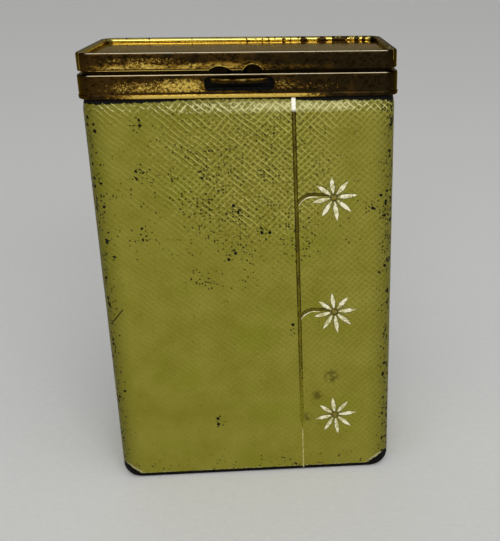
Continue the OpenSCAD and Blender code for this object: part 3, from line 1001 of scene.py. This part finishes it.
def make_lining():
    """The flocked card that lines the box's wall, with a rounded top edge."""
    low, high = levels("lining_wall")
    back = HALF_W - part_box("lining_wall")[1].x / MM + 0.01
    face = back + 0.43

    def place(station, inset, level):
        point = on_plan(station, inset, level)
        if inset < back + 0.09:
            return point
        return point - outward(station) * (0.06 * noise.noise(point / 8) + 0.03 * noise.noise(point / 2))

    section = [(back, low + 0.05)]
    section += [(back, level) for level in spread(low, high, 4)[1:-1]]
    section += [(back, high - 0.1), (back + 0.09, high - 0.02), (back + 0.29, high - 0.02)]
    section += [(back + 0.41, high - 0.1)]
    section += [(face, level) for level in spread(high, low + 0.3, 30)[1:-1]]
    section += [(face, low + 0.05)]
    mesh = sweep("flock_wall", plan_path(1.6, 8), section, place)
    new_piece("flock_wall", mesh, FLOCK, "case", ["lining_wall"])


def lining_slab(name, node, body):
    """A flocked card laid flat, with its rims rounded, in a CAD node's place."""
    edge = 0.12
    low, high = levels(node)
    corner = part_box(node)[1]
    inset = max(HALF_W - corner.x / MM, HALF_D - corner.y / MM) + 0.03
    rows = [(inset + edge, low + 0.01), (inset + edge * 0.3, low + edge * 0.4), (inset, low + edge)]
    rows += [(inset, high - edge), (inset + edge * 0.3, high - edge * 0.4), (inset + edge, high - 0.01)]
    new_piece(name, slab(name, plan_path(2, 8), rows, on_plan), FLOCK, body, [node])


# ---------- the lid


def make_lid_rim():
    """The lid's brass: a skirt, a rounded rim and an inner wall down to the panel, with two notches."""
    low, high = LID_BOTTOM, LID_TOP
    outer = LID_INSET
    inner = outer + 1.5
    foot = PANEL_TOP + 0.02
    outside = [(outer, low, 0.22), (outer, (low + high) / 2, 0), (outer, high, 0.42)]
    recess = [(inner, high, 0.6), (inner, foot, 0.02), (inner - BRASS_T, foot, 0.02)]
    hollow = [(inner - BRASS_T, high - BRASS_T, 0.1), (outer + BRASS_T, high - BRASS_T, 0.1)]
    section = fillet(outside + recess + hollow + [(outer + BRASS_T, low, 0.22)])
    mesh = sweep("rim", plan_path(0.8, 14), section, metal_point)
    rim = new_piece("rim", mesh, LID_BRASS, "lid", ["lid_rim"])
    ahead, back = -HALF_D - 1, -HALF_D + outer + BRASS_T + 0.1
    cut(rim, [drum(LATCH_X + x, low + h - radius, radius, ahead, back) for x, h, radius in NOTCHES], 0.16)


# ---------- foil decoration

# each petal's heading in degrees and its length from the flower's middle
PETALS = [(5, 5.0), (49, 4.6), (97, 4.6), (143, 4.4), (192, 4.7), (238, 4.9), (278, 5.3), (319, 5.0)]
FOIL_BACK = -0.03


def on_cover(x, z, lift):
    """A point lift above the cover's front face."""
    return Vector((x, -HALF_D + wall_inset(z) - lift, z))


def foil_mesh():
    """An empty bmesh whose across attribute is to run from 0 on a foil's middle to 1 at its edge."""
    bm = bmesh.new()
    return bm, bm.verts.layers.float.new("across")


def ribbon(bm, side_of, line, widths, thickness):
    """A thin closed strip along a line of (x, z) points on the front, slightly crowned across its width."""
    rows = []
    for i, (x, z) in enumerate(line):
        before = Vector(line[max(i - 1, 0)])
        after = Vector(line[min(i + 1, len(line) - 1)])
        side = (after - before).normalized().orthogonal() * widths[i] / 2
        row = [(t, thickness * (1 - 0.75 * t * t)) for t in spread(-1, 1, 6)]
        row += [(1, FOIL_BACK), (-1, FOIL_BACK)]
        rows.append([bm.verts.new(on_cover(x + side.x * t, z + side.y * t, lift)) for t, lift in row])
        for vert, (t, _) in zip(rows[-1], row):
            vert[side_of] = abs(t)
    for low, high in zip(rows, rows[1:]):
        bridge(bm, low, high)
    bm.faces.new(rows[0])
    bm.faces.new(rows[-1])


def petal(bm, side_of, z, turn, length):
    """A pointed petal of the flower at level z, from near its centre outward."""
    root, width, fullness = 0.95, 1.22, 1.9
    heading = Vector((math.cos(math.radians(turn)), math.sin(math.radians(turn))))
    line, widths = [], []
    for t in spread(0, 1, 16):
        at = Vector((FLOWER_X, z)) + heading * (root + (length - root) * t)
        line.append(tuple(at))
        ragged = 1 + 0.22 * noise.noise(Vector((at.x * 3, turn, at.y * 3)))
        widths.append(max(0.03, ragged * width * (1 - (abs(2 * t - 0.95) / 1.05) ** fullness)))
    ribbon(bm, side_of, line, widths, 0.075)


def dome(bm, side_of, z):
    """The round, crowned centre of the flower at level z."""
    crown = 0.12
    top = bm.verts.new(on_cover(FLOWER_X, z, crown))
    turns = spread(0, 2 * math.pi, 24)[:-1]
    rings = []
    for t in spread(0, 1, 5)[1:]:
        lift = crown * (1 - t * t) if t < 1 else FOIL_BACK
        reach = t * CENTRE_FOIL_R
        spots = [(FLOWER_X + reach * math.cos(a), z + reach * math.sin(a)) for a in turns]
        rings.append([bm.verts.new(on_cover(*spot, lift)) for spot in spots])
        for vert in rings[-1]:
            vert[side_of] = t
    for vert, following in zip(rings[0], rings[0][1:] + rings[0][:1]):
        bm.faces.new((top, vert, following))
    for inner, outer in zip(rings, rings[1:]):
        bridge(bm, inner, outer)
    bm.faces.new(rings[-1])


def stalk_line(z, drop=0):
    """The stalk's line to the flower at level z: an arc from the stem that levels out, then a run in."""
    radius, level, turn_x = 3.3, 0.85, FLOWER_X - 4.6
    line = []
    for turn in spread(158, 90, 16):
        angle = math.radians(turn)
        line.append((turn_x + radius * math.cos(angle), z + level - radius + radius * math.sin(angle) - drop))
    return line + [(turn_x + 0.6 * i, z + level - 0.04 * i - drop) for i in range(1, 7)]


def make_stem():
    """The stem, thin where its foot has rubbed away, and the stalks of the upper two flowers."""
    foot, top, lean, thin_below = 0.8, COLLAR_BOTTOM - 0.15, 0.0055, 13.5
    heights = spread(foot, top, 150)
    bm, side_of = foil_mesh()
    line = [(STEM_X - 0.2 + (top - z) * lean, z) for z in heights]
    ribbon(bm, side_of, line, [0.3 if z < thin_below else 0.86 for z in heights], 0.05)
    for z in FLOWER_LEVELS[1:]:
        route = stalk_line(z)
        ribbon(bm, side_of, route, [0.85 - 0.25 * i / len(route) for i in range(len(route))], 0.06)
    new_piece("stem", to_mesh(bm, "stem"), stem_paint(), "case", ["stem_foil"])


def make_petals():
    """The flowers' petals, and the pale line under each stalk, a painted highlight."""
    bm, side_of = foil_mesh()
    for z in FLOWER_LEVELS:
        for turn, length in PETALS:
            petal(bm, side_of, z, turn, length)
    # painted highlight: a pale strip along the underside of each stalk
    for z in FLOWER_LEVELS[1:]:
        route = stalk_line(z, drop=0.62)[1:19]
        swell = [math.sin(math.pi * t) for t in spread(0, 1, len(route) - 1)]
        ribbon(bm, side_of, route, [0.12 + 0.2 * s for s in swell], 0.05)
    new_piece("petals", to_mesh(bm, "petals"), petal_paint(), "case", ["petal_foils"])


def make_centres():
    """The flowers' centres."""
    bm, side_of = foil_mesh()
    for z in FLOWER_LEVELS:
        dome(bm, side_of, z)
    mesh = to_mesh(bm, "flower_centres")
    new_piece("flower_centres", mesh, centre_paint(), "case", ["centre_foils"])


# ---------- CAD nodes that stay as they are

# each node's material and the width of the bevel on its edges
KEPT = {
    "core_box": (LACQUER, 0.05),
    "neck": (NECK_BRASS, 0.06),
    "hinge_leaf_case": (PLAIN_BRASS, 0.07),
    "hinge_leaf_lid": (PLAIN_BRASS, 0.07),
    "hinge_pin": (DARK_BRASS, 0.05),
    "catch_spring": (STEEL, 0.03),
    "spring_rivets": (DARK_BRASS, 0.05),
    "lid_panel": (POLISHED, 0.02),
    "lid_keeper": (SHADED_STEEL, 0.04),
    "thumb_tab": (TAB_BRASS, 0.14),
    "catch_hook": (SHADED_STEEL, 0.05),
}


def finish_kept_nodes():
    """Gives the CAD nodes that show their materials and softened edges."""
    for node, (material, width) in KEPT.items():
        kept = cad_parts[node]
        kept.data.materials.clear()
        kept.data.materials.append(material)
        soften(kept, width)


# ---------- stage


def make_floor():
    """A plain pale floor that fills the view."""
    bpy.ops.mesh.primitive_plane_add(size=16)
    floor = bpy.context.object
    floor.name = "floor"
    paint = Paint("pale_floor", Specular_IOR_Level=0.2)
    tone = paint.mix(srgb(221, 221, 221), srgb(230, 229, 227), paint.noise(1.6, 3))
    rough = paint.noise(2, 2) * 0.05 + 0.9
    floor.data.materials.append(paint.finish(tone, rough, paint.noise(0.9, 3) * 0.06))


def light(name, kind, place, **settings):
    """A light at a place, in metres, that faces the case."""
    lamp = bpy.data.lights.new(name, kind)
    for setting, value in settings.items():
        setattr(lamp, setting, value)
    made = bpy.data.objects.new(name, lamp)
    made.location = place
    made.rotation_euler = (Vector((0, 0, 0.06)) - Vector(place)).to_track_quat("-Z", "Y").to_euler()
    bpy.context.scene.collection.objects.link(made)
    return made


def make_lights():
    """A broad soft light overhead, a softbox in front, a weak light from behind and a dim surround."""
    light("overhead", "SUN", (0.1, -0.75, 1.0), energy=1.12, angle=math.radians(85), color=(1.0, 0.99, 0.96))
    light("softbox", "AREA", (0.16, -0.9, 0.5), shape="RECTANGLE", size=0.9, size_y=0.3, energy=4.6)
    behind = light("rear_fill", "SUN", (-0.3, 0.95, 0.3), energy=0.42, angle=math.radians(60))
    behind.visible_glossy = False
    world = bpy.data.worlds.new("surround")
    world.use_nodes = True
    surround = world.node_tree.nodes["Background"]
    surround.inputs["Color"].default_value = (0.95, 0.98, 1.0, 1)
    surround.inputs["Strength"].default_value = 0.22
    bpy.context.scene.world = world
    bpy.context.scene.view_settings.view_transform = "Standard"


def make_camera():
    """The main view, from in front and above."""
    yaw, pitch, roll = (math.radians(v) for v in (-4.617, 21.295, -0.100))
    camera = bpy.data.cameras.new("view")
    camera.sensor_width = 36
    camera.lens = 53.88
    camera.shift_x = -0.1664
    camera.clip_start = 0.01
    made = bpy.data.objects.new("view", camera)
    tilt = Matrix.Rotation(math.pi / 2 - pitch, 4, "X") @ Matrix.Rotation(roll, 4, "Z")
    place = Matrix.Translation(Vector((6.808, -182.342, 117.123)) * MM)
    made.matrix_world = place @ Matrix.Rotation(yaw, 4, "Z") @ tilt
    bpy.context.scene.collection.objects.link(made)
    bpy.context.scene.camera = made


make_camera()
make_floor()
make_lights()
make_cover()
make_base()
make_collar()
make_lining()
lining_slab("flock_floor", "lining_base", "case")
make_lid_rim()
lining_slab("flock_lid", "lid_lining", "lid")
make_stem()
make_petals()
make_centres()
finish_kept_nodes()
